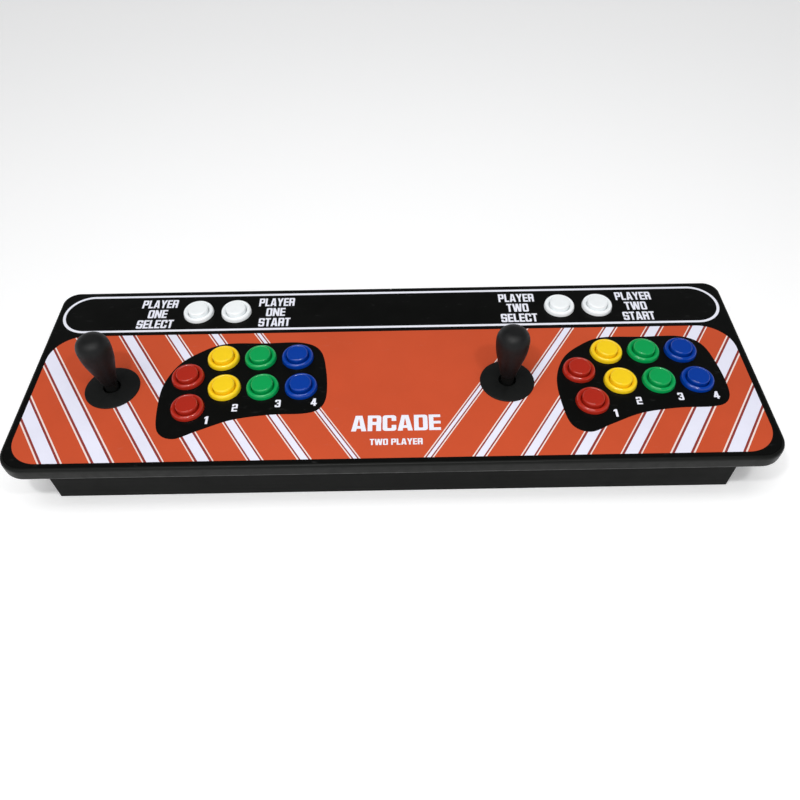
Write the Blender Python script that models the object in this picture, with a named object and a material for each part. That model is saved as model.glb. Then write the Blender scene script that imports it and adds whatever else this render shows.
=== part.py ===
"""Two-player arcade joystick panel.

A board with a printed sheet and a T-molding edge sits on a low black case. Each player's half,
called a station here, has one bat-top joystick, four columns of two push buttons and a pair of
white buttons at the back. Left and right stations are the same layout, one shifted from the other.

Frame: metres, X along the panel, +Y to the rear, +Z up. The origin is the centre of the panel's
outline, on the surface that the case stands on.
"""

import math

import bmesh
import bpy
from mathutils import Matrix

GAP = 0.0003                    # clearance between pieces that rest on each other

# Panel and case
PANEL_WIDTH = 0.739
PANEL_DEPTH = 0.245
REAR_CORNER = 0.017
FRONT_CORNER = 0.025
CORNER_STEPS = 6
MOLDING_WIDTH = 0.0035
MOLDING_ROUND = 0.0022
BOARD_THICKNESS = 0.0140
SHEET_THICKNESS = 0.0007
CASE_HEIGHT = 0.0610
CASE_WIDTH = 0.678
CASE_FRONT = -0.1015
CASE_REAR = 0.115
CASE_WALL = 0.010
COVER_THICKNESS = 0.006
SOCKET_OPENING = (0.062, 0.016)
SOCKET_HEIGHT = 0.022           # middle of the rear opening above the ground
TOP = CASE_HEIGHT + BOARD_THICKNESS + SHEET_THICKNESS + GAP     # the printed face

# Circuit board, (width, depth, height) of each block
ENCODER_SIZE = (0.096, 0.060, 0.0016)
ENCODER_SOCKET = (0.052, 0.018, 0.013)
ENCODER_CHIP = (0.014, 0.014, 0.002)
ENCODER_HEADER = (0.008, 0.044, 0.009)
HEADER_X = 0.034
SPACER_PLACE = (0.043, 0.024)   # from the board's middle
SPACER_SIDE = 0.006

# Layout, from a station's middle
STATION_X = 0.199
STICK_PLACE = (-0.0825, -0.0225)
COLUMN_PITCH = 0.03855
YELLOW_PLACE = (0.0245, 0.0147)
RED_PLACE = (-0.0081, -0.0107)
LOWER_ROW = (0.0064, -0.0407)   # from a column's upper button to its lower one
WHITE_PLACE = (0.0075, 0.0854)
WHITE_SPREAD = 0.0208

# Push button, heights from the printed face
BUTTON_SIDES = 16
HOLE_RADIUS = 0.0140
BARREL_RADIUS = 0.0137
BORE_RADIUS = 0.0114
PLUNGER_RADIUS = 0.0110
RIM_RADIUS = 0.01665
RIM_HEIGHT = 0.0054
RIM_ROUND = 0.0006
PLUNGER_TOP = 0.0082
PLUNGER_ROUND = 0.0009
PLUNGER_SKIRT = -0.006
STEM_RADIUS = 0.004
STEM_END = -0.0245
BARREL_FLOOR = -0.030
FLOOR_THICKNESS = 0.002
NUT_RADIUS = 0.0182
NUT_HEIGHT = 0.0052
SWITCH_SIZE = (0.020, 0.0064, 0.0105)

# Joystick, heights from the printed face
STICK_SIDES = 20
PIVOT = -0.028
BAT_TOP = 0.0715
BAT_WIDEST = 0.0584
BAT_BOTTOM = 0.0115
BAT_RADIUS = 0.01605
BAT_FLAT_RADIUS = 0.0042
BAT_ROUND = 0.0010
BAT_STEPS = 5
CAP_POWER = 0.71                # below 1 makes the cap fuller than an ellipse
BODY_POWER = 1.10               # above 1 moves the narrowing down the body
NECK_RADIUS = 0.0076
NECK_LEVEL = 0.0042             # where the body's curve would reach the neck radius
SHAFT_RADIUS = 0.005
SHAFT_TOP = 0.026
SHAFT_END = -0.055
SLEEVE_RADIUS = 0.0066
SLEEVE_TOP = 0.0112
SLEEVE_END = -0.012
BALL_RADIUS = 0.0066
STICK_HOLE = 0.019
WASHER_RADIUS = 0.0274
WASHER_HOLE = 0.0087
WASHER_HEIGHT = 0.0026
WASHER_EDGE = 0.0011
WASHER_ROUND = 0.0005
LOWER_WASHER = (0.0088, 0.0143)         # radii; it lies on the mounting plate, in the board's hole
LOWER_WASHER_THICKNESS = 0.001
PLATE_SIZE = (0.066, 0.096, 0.0016)
HOUSING_SIDE = 0.062
HOUSING_BORE = 0.040
HOUSING_ROOF = 0.005
HOUSING_END = -0.050
HOUSING_HOLE = 0.0090
GIMBAL_RADII = (0.0072, 0.0112)
GIMBAL_HEIGHT = 0.006
TRUNNION_RADIUS = 0.002
TRUNNION_SIDES = 8
ACTUATOR_RADIUS = 0.009
ACTUATOR_SPAN = (-0.0515, -0.0445)

BUTTON_COLOURS = {
    "red": (0.42, 0.022, 0.017),
    "yellow": (0.95, 0.62, 0.02),
    "green": (0.010, 0.33, 0.08),
    "blue": (0.004, 0.040, 0.38),
    "white": (0.86, 0.88, 0.87),
}


def clear_scene():
    for obj in list(bpy.data.objects):
        bpy.data.objects.remove(obj)


def make_material(name, colour, roughness, metallic=0.0):
    material = bpy.data.materials.new(name)
    material.use_nodes = True
    shader = material.node_tree.nodes["Principled BSDF"]
    shader.inputs["Base Color"].default_value = (*colour, 1.0)
    shader.inputs["Roughness"].default_value = roughness
    shader.inputs["Metallic"].default_value = metallic
    return material


def mesh_from(bm, name):
    bmesh.ops.recalc_face_normals(bm, faces=bm.faces)
    mesh = bpy.data.meshes.new(name)
    bm.to_mesh(mesh)
    bm.free()
    return mesh


def add_object(name, mesh, material, place=(0, 0, 0), parent=None):
    """Links a mesh as a named object. With a parent empty, place is measured from that empty."""
    mesh.shade_smooth()
    mesh.set_sharp_from_angle(angle=math.radians(35))
    if not mesh.materials:
        mesh.materials.append(material)
    obj = bpy.data.objects.new(name, mesh)
    obj.location = place
    obj.parent = parent
    bpy.context.scene.collection.objects.link(obj)
    return obj


def circle(radius, sides, centre=(0.0, 0.0)):
    step = 2 * math.pi / sides
    return [
        (centre[0] + radius * math.cos(step * i), centre[1] + radius * math.sin(step * i))
        for i in range(sides)
    ]


def panel_outline(inset):
    """The panel's rounded outline, moved in by inset, counter-clockwise from the right rear."""
    half_x = PANEL_WIDTH / 2
    half_y = PANEL_DEPTH / 2
    corners = (
        (1, 1, REAR_CORNER, 0),
        (-1, 1, REAR_CORNER, 90),
        (-1, -1, FRONT_CORNER, 180),
        (1, -1, FRONT_CORNER, 270),
    )
    points = []
    for side_x, side_y, radius, start in corners:
        centre_x = side_x * (half_x - radius)
        centre_y = side_y * (half_y - radius)
        for step in range(CORNER_STEPS + 1):
            angle = math.radians(start + 90 * step / CORNER_STEPS)
            points.append((
                centre_x + (radius - inset) * math.cos(angle),
                centre_y + (radius - inset) * math.sin(angle),
            ))
    return points


def rectangle(width, depth, centre=(0.0, 0.0)):
    x, y = centre
    half_x = width / 2
    half_y = depth / 2
    return [
        (x - half_x, y - half_y),
        (x + half_x, y - half_y),
        (x + half_x, y + half_y),
        (x - half_x, y + half_y),
    ]


def prism(name, outline, low, high, holes=()):
    """A flat plate from low to high with straight-through holes."""
    bm = bmesh.new()
    for loop in (outline, *holes):
        corners = [bm.verts.new((x, y, low)) for x, y in loop]
        for first, second in zip(corners, corners[1:] + corners[:1]):
            bm.edges.new((first, second))
    bmesh.ops.triangle_fill(bm, edges=bm.edges, use_beauty=True, normal=(0, 0, 1))
    grown = bmesh.ops.extrude_face_region(bm, geom=list(bm.faces))
    lifted = [item for item in grown["geom"] if isinstance(item, bmesh.types.BMVert)]
    bmesh.ops.translate(bm, verts=lifted, vec=(0, 0, high - low))
    return mesh_from(bm, name)


def box(name, width, depth, low, high, centre=(0.0, 0.0)):
    return prism(name, rectangle(width, depth, centre), low, high)


def turned(name, profile, sides, ring=False):
    """Turns a profile of (radius, height) about Z. A ring closes on itself; any other profile
    is closed by a flat face at each end."""
    bm = bmesh.new()
    levels = [
        [bm.verts.new((x, y, height)) for x, y in circle(radius, sides)]
        for radius, height in profile
    ]
    pairs = list(zip(levels, levels[1:]))
    if ring:
        pairs.append((levels[-1], levels[0]))
    for upper, lower in pairs:
        for i in range(sides):
            j = (i + 1) % sides
            bm.faces.new((upper[i], upper[j], lower[j], lower[i]))
    if not ring:
        bm.faces.new(levels[0])
        bm.faces.new(reversed(levels[-1]))
    return mesh_from(bm, name)


def combine(name, base, steps):
    """Applies Boolean steps of (operation, mesh) to a base mesh and returns the result."""
    body = bpy.data.objects.new(name, base)
    bpy.context.scene.collection.objects.link(body)
    tools = []
    for operation, mesh in steps:
        tool = bpy.data.objects.new(name + "_tool", mesh)
        bpy.context.scene.collection.objects.link(tool)
        cut = body.modifiers.new(operation, "BOOLEAN")
        cut.operation = operation
        cut.object = tool
        tools.append(tool)
    evaluated = body.evaluated_get(bpy.context.evaluated_depsgraph_get())
    result = bpy.data.meshes.new_from_object(evaluated)
    for obj in (body, *tools):
        bpy.data.objects.remove(obj)
    return result


def station_buttons():
    """(column, row, place) of each coloured button, from the station's middle."""
    columns = [("red", *RED_PLACE)]
    for index, colour in enumerate(("yellow", "green", "blue")):
        columns.append((colour, YELLOW_PLACE[0] + COLUMN_PITCH * index, YELLOW_PLACE[1]))
    buttons = []
    for colour, x, y in columns:
        buttons.append((colour, "upper", (x, y)))
        buttons.append((colour, "lower", (x + LOWER_ROW[0], y + LOWER_ROW[1])))
    return buttons


def all_buttons():
    """(name, colour, place) of all the push buttons on the panel."""
    found = []
    for side, middle in (("left", -STATION_X), ("right", STATION_X)):
        for colour, row, (x, y) in station_buttons():
            found.append((f"{side}_{colour}_{row}", colour, (middle + x, y)))
        for label, shift in (("select", -WHITE_SPREAD), ("start", WHITE_SPREAD)):
            place = (middle + WHITE_PLACE[0] + shift, WHITE_PLACE[1])
            found.append((f"{side}_{label}", "white", place))
    return found


def stick_places():
    return {
        "left": (-STATION_X + STICK_PLACE[0], STICK_PLACE[1]),
        "right": (STATION_X + STICK_PLACE[0], STICK_PLACE[1]),
    }


def panel_holes():
    holes = [circle(HOLE_RADIUS, BUTTON_SIDES, place) for _, _, place in all_buttons()]
    holes += [circle(STICK_HOLE, STICK_SIDES, place) for place in stick_places().values()]
    return holes


def make_board():
    outline = panel_outline(MOLDING_WIDTH)
    low = CASE_HEIGHT
    mesh = prism("top_board", outline, low, low + BOARD_THICKNESS, panel_holes())
    add_object("top_board", mesh, make_material("board", (0.045, 0.040, 0.036), 0.7))


def make_sheet():
    outline = panel_outline(MOLDING_WIDTH)
    mesh = prism("printed_sheet", outline, TOP - SHEET_THICKNESS, TOP, panel_holes())
    add_object("printed_sheet", mesh, make_material("print", (0.56, 0.085, 0.035), 0.35))


def make_molding():
    """The T-molding: one convex section swept round the board's edge."""
    thickness = TOP - CASE_HEIGHT
    edge = (
        (MOLDING_WIDTH - GAP, 0.0),
        (MOLDING_ROUND * 0.8, 0.0),
        (MOLDING_ROUND * 0.25, MOLDING_ROUND * 0.45),
        (0.0, MOLDING_ROUND * 1.6),
    )
    section = edge + tuple((inset, thickness - depth) for inset, depth in reversed(edge))
    bm = bmesh.new()
    loops = [
        [bm.verts.new((x, y, TOP - depth)) for x, y in panel_outline(inset)]
        for inset, depth in section
    ]
    for inner, outer in zip(loops, loops[1:] + loops[:1]):
        count = len(inner)
        for i in range(count):
            j = (i + 1) % count
            bm.faces.new((inner[i], inner[j], outer[j], outer[i]))
    mesh = mesh_from(bm, "edge_molding")
    add_object("edge_molding", mesh, make_material("molding", (0.020, 0.020, 0.019), 0.4))


def make_case():
    """Four walls in one ring, with an opening through the rear one for the cable socket."""
    depth = CASE_REAR - CASE_FRONT
    middle = (0.0, (CASE_REAR + CASE_FRONT) / 2)
    inside = rectangle(CASE_WIDTH - 2 * CASE_WALL, depth - 2 * CASE_WALL, middle)
    outline = rectangle(CASE_WIDTH, depth, middle)
    walls = prism("case_walls", outline, 0.0, CASE_HEIGHT - GAP, [inside])
    width, height = SOCKET_OPENING
    slot = box(
        "slot", width, 2 * CASE_WALL, SOCKET_HEIGHT - height / 2, SOCKET_HEIGHT + height / 2,
        (0.0, CASE_REAR - CASE_WALL / 2),
    )
    mesh = combine("case_walls", walls, [("DIFFERENCE", slot)])
    black = make_material("case_black", (0.018, 0.018, 0.017), 0.45)
    add_object("case_walls", mesh, black)
    clear = 2 * CASE_WALL + 2 * GAP
    cover = box("bottom_cover", CASE_WIDTH - clear, depth - clear, 0.0, COVER_THICKNESS, middle)
    dark = make_material("cover_board", (0.030, 0.026, 0.022), 0.75)
    add_object("bottom_cover", cover, dark)


def make_encoder():
    """The circuit board that reads the switches, on four spacers, its socket at the rear."""
    width, depth, thickness = ENCODER_SIZE
    rear = CASE_REAR - CASE_WALL - 2 * GAP
    low = SOCKET_HEIGHT - ENCODER_SOCKET[2] / 2 - thickness
    middle = rear - depth / 2
    inside = low + thickness / 2
    board = box("encoder_board", width, depth, low, low + thickness, (0.0, middle))
    blocks = [
        (*ENCODER_SOCKET, 0.0, rear - ENCODER_SOCKET[1] / 2),
        (*ENCODER_CHIP, 0.0, middle),
        (*ENCODER_HEADER, -HEADER_X, middle),
        (*ENCODER_HEADER, HEADER_X, middle),
    ]
    steps = []
    for block_width, block_depth, height, x, y in blocks:
        block = box("block", block_width, block_depth, inside, low + thickness + height, (x, y))
        steps.append(("UNION", block))
    for x in (-SPACER_PLACE[0], SPACER_PLACE[0]):
        for y in (middle - SPACER_PLACE[1], middle + SPACER_PLACE[1]):
            spacer = box("spacer", SPACER_SIDE, SPACER_SIDE, COVER_THICKNESS + GAP, inside, (x, y))
            steps.append(("UNION", spacer))
    mesh = combine("encoder_board", board, steps)
    add_object("encoder_board", mesh, make_material("circuit_green", (0.012, 0.10, 0.035), 0.4))


def button_housing_mesh():
    """Rim, barrel, nut and switch of one push button, as the one body that stays still."""
    under_board = -(TOP - CASE_HEIGHT) - GAP
    profile = (
        (BORE_RADIUS, BARREL_FLOOR + FLOOR_THICKNESS),
        (BORE_RADIUS, RIM_HEIGHT - RIM_ROUND),
        (RIM_RADIUS * 0.80, RIM_HEIGHT),
        (RIM_RADIUS * 0.94, RIM_HEIGHT * 0.60),
        (RIM_RADIUS, GAP),
        (BARREL_RADIUS, GAP),
        (BARREL_RADIUS, under_board),
        (NUT_RADIUS, under_board),
        (NUT_RADIUS, under_board - NUT_HEIGHT),
        (BARREL_RADIUS, under_board - NUT_HEIGHT),
        (BARREL_RADIUS, BARREL_FLOOR),
    )
    housing = turned("button_housing", profile, BUTTON_SIDES)
    width, depth, height = SWITCH_SIZE
    switch_top = BARREL_FLOOR + FLOOR_THICKNESS / 2
    switch = box("switch", width, depth, BARREL_FLOOR - height, switch_top)
    return combine("button_housing", housing, [("UNION", switch)])


def button_plunger_mesh():
    profile = (
        (PLUNGER_RADIUS - PLUNGER_ROUND, PLUNGER_TOP),
        (PLUNGER_RADIUS, PLUNGER_TOP - PLUNGER_ROUND),
        (PLUNGER_RADIUS, PLUNGER_SKIRT),
        (STEM_RADIUS, PLUNGER_SKIRT),
        (STEM_RADIUS, STEM_END),
    )
    return turned("button_plunger", profile, BUTTON_SIDES)


def make_buttons():
    """Each button has two pieces: a still housing and a plunger that travels down its axis."""
    housing = button_housing_mesh()
    plunger = button_plunger_mesh()
    meshes = {}
    for colour, rgb in BUTTON_COLOURS.items():
        plastic = make_material("button_" + colour, rgb, 0.25)
        meshes[colour] = (housing.copy(), plunger.copy())
        for mesh in meshes[colour]:
            mesh.materials.append(plastic)
    for name, colour, (x, y) in all_buttons():
        still, moving = meshes[colour]
        add_object(name + "_housing", still, None, (x, y, TOP))
        add_object(name + "_plunger", moving, None, (x, y, TOP))


def bat_profile():
    """A rounded cap over a body that narrows smoothly to the neck, hollow for the shaft's end."""
    profile = [(BAT_FLAT_RADIUS, BAT_TOP)]
    for step in range(2, BAT_STEPS + 1):
        angle = math.radians(90 * step / BAT_STEPS)
        height = BAT_WIDEST + (BAT_TOP - BAT_WIDEST) * math.cos(angle)
        profile.append((BAT_RADIUS * math.sin(angle) ** CAP_POWER, height))
    lowest = BAT_BOTTOM + BAT_ROUND
    for step in range(1, BAT_STEPS):
        level = BAT_WIDEST + (lowest - BAT_WIDEST) * step / (BAT_STEPS - 1)
        share = (BAT_WIDEST - level) / (BAT_WIDEST - NECK_LEVEL)
        swell = 0.5 + 0.5 * math.cos(math.pi * share ** BODY_POWER)
        profile.append((NECK_RADIUS + (BAT_RADIUS - NECK_RADIUS) * swell, level))
    profile.append((NECK_RADIUS - BAT_ROUND, BAT_BOTTOM))
    bore = SHAFT_RADIUS + GAP
    profile.append((bore, BAT_BOTTOM))
    profile.append((bore, SHAFT_TOP + GAP))
    return profile


def shaft_profile():
    """Steel rod with its sleeve above and its pivot ball, all turned on one axis."""
    ball = []
    for degrees in (40, 20, 0, -20, -40):
        angle = math.radians(degrees)
        ball.append((BALL_RADIUS * math.cos(angle), PIVOT + BALL_RADIUS * math.sin(angle)))
    return (
        (SHAFT_RADIUS, SHAFT_TOP),
        (SHAFT_RADIUS, SLEEVE_TOP),
        (SLEEVE_RADIUS, SLEEVE_TOP),
        (SLEEVE_RADIUS, SLEEVE_END),
        (SHAFT_RADIUS, SLEEVE_END),
        *ball,
        (SHAFT_RADIUS, SHAFT_END),
    )


def tube_profile(inner, outer, low, high):
    return ((inner, high), (outer, high), (outer, low), (inner, low))


def stick_housing_mesh():
    """Mounting plate and switch box as one still body, bored for the gimbal and the shaft."""
    plate_top = -(TOP - CASE_HEIGHT) - GAP
    width, depth, thickness = PLATE_SIZE
    roof = plate_top - thickness - HOUSING_ROOF
    plate = box("plate", width, depth, plate_top - thickness, plate_top)
    body = box("body", HOUSING_SIDE, HOUSING_SIDE, HOUSING_END, plate_top - thickness / 2)
    bore = box("bore", HOUSING_BORE, HOUSING_BORE, HOUSING_END - HOUSING_ROOF, roof)
    hole = turned("hole", ((HOUSING_HOLE, 0.0), (HOUSING_HOLE, HOUSING_END)), STICK_SIDES)
    steps = [("UNION", body), ("DIFFERENCE", bore), ("DIFFERENCE", hole)]
    return combine("stick_housing", plate, steps)


def gimbal_mesh():
    """A ring that tilts left and right on two trunnions along Y. The shaft's ball sits in it."""
    half = GIMBAL_HEIGHT / 2
    ring = turned("ring", tube_profile(*GIMBAL_RADII, -half, half), STICK_SIDES, ring=True)
    reach = HOUSING_BORE / 2 - 2 * GAP
    start = (GIMBAL_RADII[0] + GIMBAL_RADII[1]) / 2
    profile = ((TRUNNION_RADIUS, reach), (TRUNNION_RADIUS, start))
    trunnion = turned("trunnion", profile, TRUNNION_SIDES)
    pins = []
    for angle in (-90, 90):
        pin = trunnion.copy()
        pin.transform(Matrix.Rotation(math.radians(angle), 4, "X"))
        pins.append(("UNION", pin))
    return combine("gimbal", ring, pins)


def make_sticks():
    black = make_material("stick_black", (0.012, 0.012, 0.012), 0.35)
    steel = make_material("shaft_steel", (0.55, 0.55, 0.56), 0.3, 1.0)
    inner = make_material("housing_black", (0.02, 0.02, 0.02), 0.5)
    washer = (
        (WASHER_HOLE, WASHER_HEIGHT - WASHER_ROUND),
        (WASHER_HOLE + WASHER_ROUND, WASHER_HEIGHT),
        (WASHER_RADIUS * 0.72, WASHER_HEIGHT * 0.77),
        (WASHER_RADIUS, WASHER_EDGE),
        (WASHER_RADIUS, GAP),
        (WASHER_HOLE, GAP),
    )
    case_level = CASE_HEIGHT - TOP
    lower_washer = tube_profile(*LOWER_WASHER, case_level, case_level + LOWER_WASHER_THICKNESS)
    collar = tube_profile(SHAFT_RADIUS + GAP, ACTUATOR_RADIUS, *ACTUATOR_SPAN)
    moving = {
        "knob": (turned("knob", bat_profile(), STICK_SIDES), black),
        "shaft": (turned("shaft", shaft_profile(), STICK_SIDES), steel),
        "actuator": (turned("actuator", collar, STICK_SIDES, ring=True), inner),
    }
    still = {
        "housing": (stick_housing_mesh(), inner),
        "dust_washer": (turned("dust_washer", washer, STICK_SIDES, ring=True), black),
        "lower_washer": (turned("lower_washer", lower_washer, STICK_SIDES, ring=True), inner),
    }
    gimbal = gimbal_mesh()
    for side, (x, y) in stick_places().items():
        pivot = bpy.data.objects.new(side + "_stick_pivot", None)
        pivot.location = (x, y, TOP + PIVOT)
        bpy.context.scene.collection.objects.link(pivot)
        for piece, (mesh, material) in moving.items():
            add_object(f"{side}_stick_{piece}", mesh, material, (0, 0, -PIVOT), pivot)
        add_object(f"{side}_stick_gimbal", gimbal, inner, (0, 0, 0), pivot)
        for piece, (mesh, material) in still.items():
            add_object(f"{side}_stick_{piece}", mesh, material, (x, y, TOP))


def main():
    clear_scene()
    make_board()
    make_sheet()
    make_molding()
    make_case()
    make_encoder()
    make_buttons()
    make_sticks()


main()
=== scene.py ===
import math

import bmesh
import bpy
from mathutils import Matrix, Vector
from mathutils.geometry import delaunay_2d_cdt


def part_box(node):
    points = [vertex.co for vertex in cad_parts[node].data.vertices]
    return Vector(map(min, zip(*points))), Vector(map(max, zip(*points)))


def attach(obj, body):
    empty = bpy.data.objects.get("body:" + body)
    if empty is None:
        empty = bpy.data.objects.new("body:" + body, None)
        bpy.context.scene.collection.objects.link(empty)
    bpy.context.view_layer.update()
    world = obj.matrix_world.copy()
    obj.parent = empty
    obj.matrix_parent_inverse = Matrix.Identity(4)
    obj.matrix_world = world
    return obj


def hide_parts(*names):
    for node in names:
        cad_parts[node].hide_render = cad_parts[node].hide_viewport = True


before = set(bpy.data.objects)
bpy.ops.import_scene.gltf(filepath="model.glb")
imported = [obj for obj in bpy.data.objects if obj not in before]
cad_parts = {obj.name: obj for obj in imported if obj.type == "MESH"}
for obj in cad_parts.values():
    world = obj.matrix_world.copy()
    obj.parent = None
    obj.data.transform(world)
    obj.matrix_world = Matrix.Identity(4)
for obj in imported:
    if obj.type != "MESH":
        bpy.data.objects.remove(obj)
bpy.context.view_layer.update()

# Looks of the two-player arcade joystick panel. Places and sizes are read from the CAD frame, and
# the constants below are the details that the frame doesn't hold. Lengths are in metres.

MM = 0.001
SMOOTH_ANGLE = math.radians(40)
ROUND_SIDES = 96
SIDES = ("left", "right")
PANEL = "panel"
HERE = [(0, 0, 0)]  # the places of a part that a joined mesh holds once

# Camera
CAMERA_PLACE = Vector((0.00885, -0.49975, 0.6183))
CAMERA_AIM = Vector((0.00825, -0.04483, 0.076))
CAMERA_ROLL = math.radians(-1.073)
CAMERA_LENS = 32.2

# Light
LEFT_LAMP = (-0.2, -0.5, 1.00)
RIGHT_LAMP = (0.3, -0.5, 1.00)
SOFTBOX = (-0.05, -0.2, 1.6)
KEY_DIRECTION = (0.25, 0.5, -1.0)  # the way that the light travels
SKY_FADE = (0.15, 0.45, 1.0, 0.12)  # heights of the fade, strength at the horizon and overhead
LAMP_SIZE = (0.08, 0.05)
LEFT_LAMP_POWER = 2.6
RIGHT_LAMP_POWER = 1.8
SOFTBOX_SIZE = (1.3, 0.5)
SOFTBOX_POWER = 7.0
KEY_STRENGTH = 1.1
KEY_WIDTH = math.radians(50)  # a wide sun, for soft shadows
SKY_COLOUR = (0.97, 0.98, 1.0, 1.0)
FLOOR_COLOUR = (0.97, 0.97, 0.97, 1.0)
FLOOR_GLOW = 0.16
FLOOR_REACH = 6.0
FLOOR_DROP = 0.0002  # keeps the floor off the cover's underside

# Panel, molding, case and cover
PANEL_CORNERS = (0.017, 0.025)  # rear, front
SHEET_CORNERS = (0.0135, 0.0215)
MOLDING_WIDTH = 0.0035
MOLDING_LIP = 0.0022  # how far in the molding's rounding reaches
MOLDING_FALL = 0.0034  # and how far down
MOLDING_SEAM = 0.0004
CLEARANCE = 0.0003  # between two CAD nodes that rest on each other
BOARD_SEAM = 0.0001  # between the case's boards
GLUE_BLOCK = (0.016, 0.009, 0.012)  # side, foot's height, and how far its top is below the case's
SOCKET_OPENING = (0.062, 0.016)
SOCKET_HEIGHT = 0.022
SOCKET_STAND = 0.013  # the socket's height above the circuit board
SOCKET_FLANGE = (0.052, 0.0122)
COVER_SCREW = 0.0038
COVER_SCREW_INSET = 0.012
COVER_SCREWS = 4  # in each of the two rows
CASE_ROUNDING = 0.0008
CASE_SIDE_ROUNDING = 0.0006

# Printed sheet: the orange field
FIELD_HALF = 0.3614
FIELD_FRONT = -0.1146
FIELD_REAR = 0.0524
FIELD_CORNERS = (0.034, 0.03)  # rear, front

# Printed sheet: the white line round the rear band
BAND_LINE_Y = 0.0864
BAND_LINE_X = 0.3332
BAND_LINE_RADIUS = 0.0275
BAND_LINE_WIDTH = 0.003

# Printed sheet: stripes, mirrored about the middle. Each is the distance from the middle, the width
# of the white band, and the widths of the dark and the pale line along both its sides.
STRIPES = (
    (0.038, 0.0036, 0.0016, 0.0014),
    (0.0852, 0.0072, 0.0018, 0.0015),
    (0.131, 0.009, 0.0019, 0.0015),
    (0.179, 0.0111, 0.0027, 0.0014),
    (0.2257, 0.0122, 0.0027, 0.0014),
    (0.2733, 0.0146, 0.0027, 0.0018),
    (0.3218, 0.0146, 0.0026, 0.0018),
)
STRIPE_LEAN = 0.652  # outward shift for each unit towards the rear
STRIPE_LEVEL = -0.1085  # where the stripes' places are measured

# Printed sheet: the black field under a station's buttons, from the station's middle
PAD_POINTS = (
    (0.023, 0.0369), (0.066, 0.0371), (0.1042, 0.0371), (0.1243, 0.0253), (0.1321, -0.003),
    (0.1341, -0.038), (0.1275, -0.0545), (0.1121, -0.06), (0.0801, -0.0608), (0.0434, -0.0664),
    (0.0126, -0.079), (-0.01, -0.0885), (-0.0265, -0.079), (-0.0321, -0.0503),
    (-0.0318, -0.0198), (-0.0213, 0.0073), (-0.0024, 0.0249),
)
PAD_CUTS = 6  # points on the curve between two of those
PAD_STRETCH = {"left": 1.0, "right": 1.018}  # of the part to the right of that middle

# Printed sheet: wording. Places are from the station's middle, and the titles' from the panel's.
LABEL_HEIGHT = 0.0128
LABEL_ROWS = (0.1014, 0.0854, 0.0694)
LABEL_X = {"select": -0.0590, "start": 0.0715}
LABEL_WIDTHS = {"PLAYER": 0.0396, "ONE": 0.0210, "TWO": 0.0240, "SELECT": 0.0398, "START": 0.0345}
NUMBER_HEIGHT = 0.0094
NUMBER_WIDTHS = (0.0038, 0.0056, 0.0056, 0.006)
NUMBER_PLACES = ((0.0185, -0.066), (0.0445, -0.051), (0.0865, -0.0465), (0.122, -0.0455))
TITLES = (  # name, words, height, width, x, y
    ("label_title", "ARCADE", 0.019, 0.086, 0.004, -0.0735),
    ("label_players", "TWO PLAYER", 0.0072, 0.05, 0.004, -0.096),
)
INK_HEIGHT = 0.05 * MM
LETTER_GAP = 0.055  # in letter heights, as the next
WORD_GAP = 0.3

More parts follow.
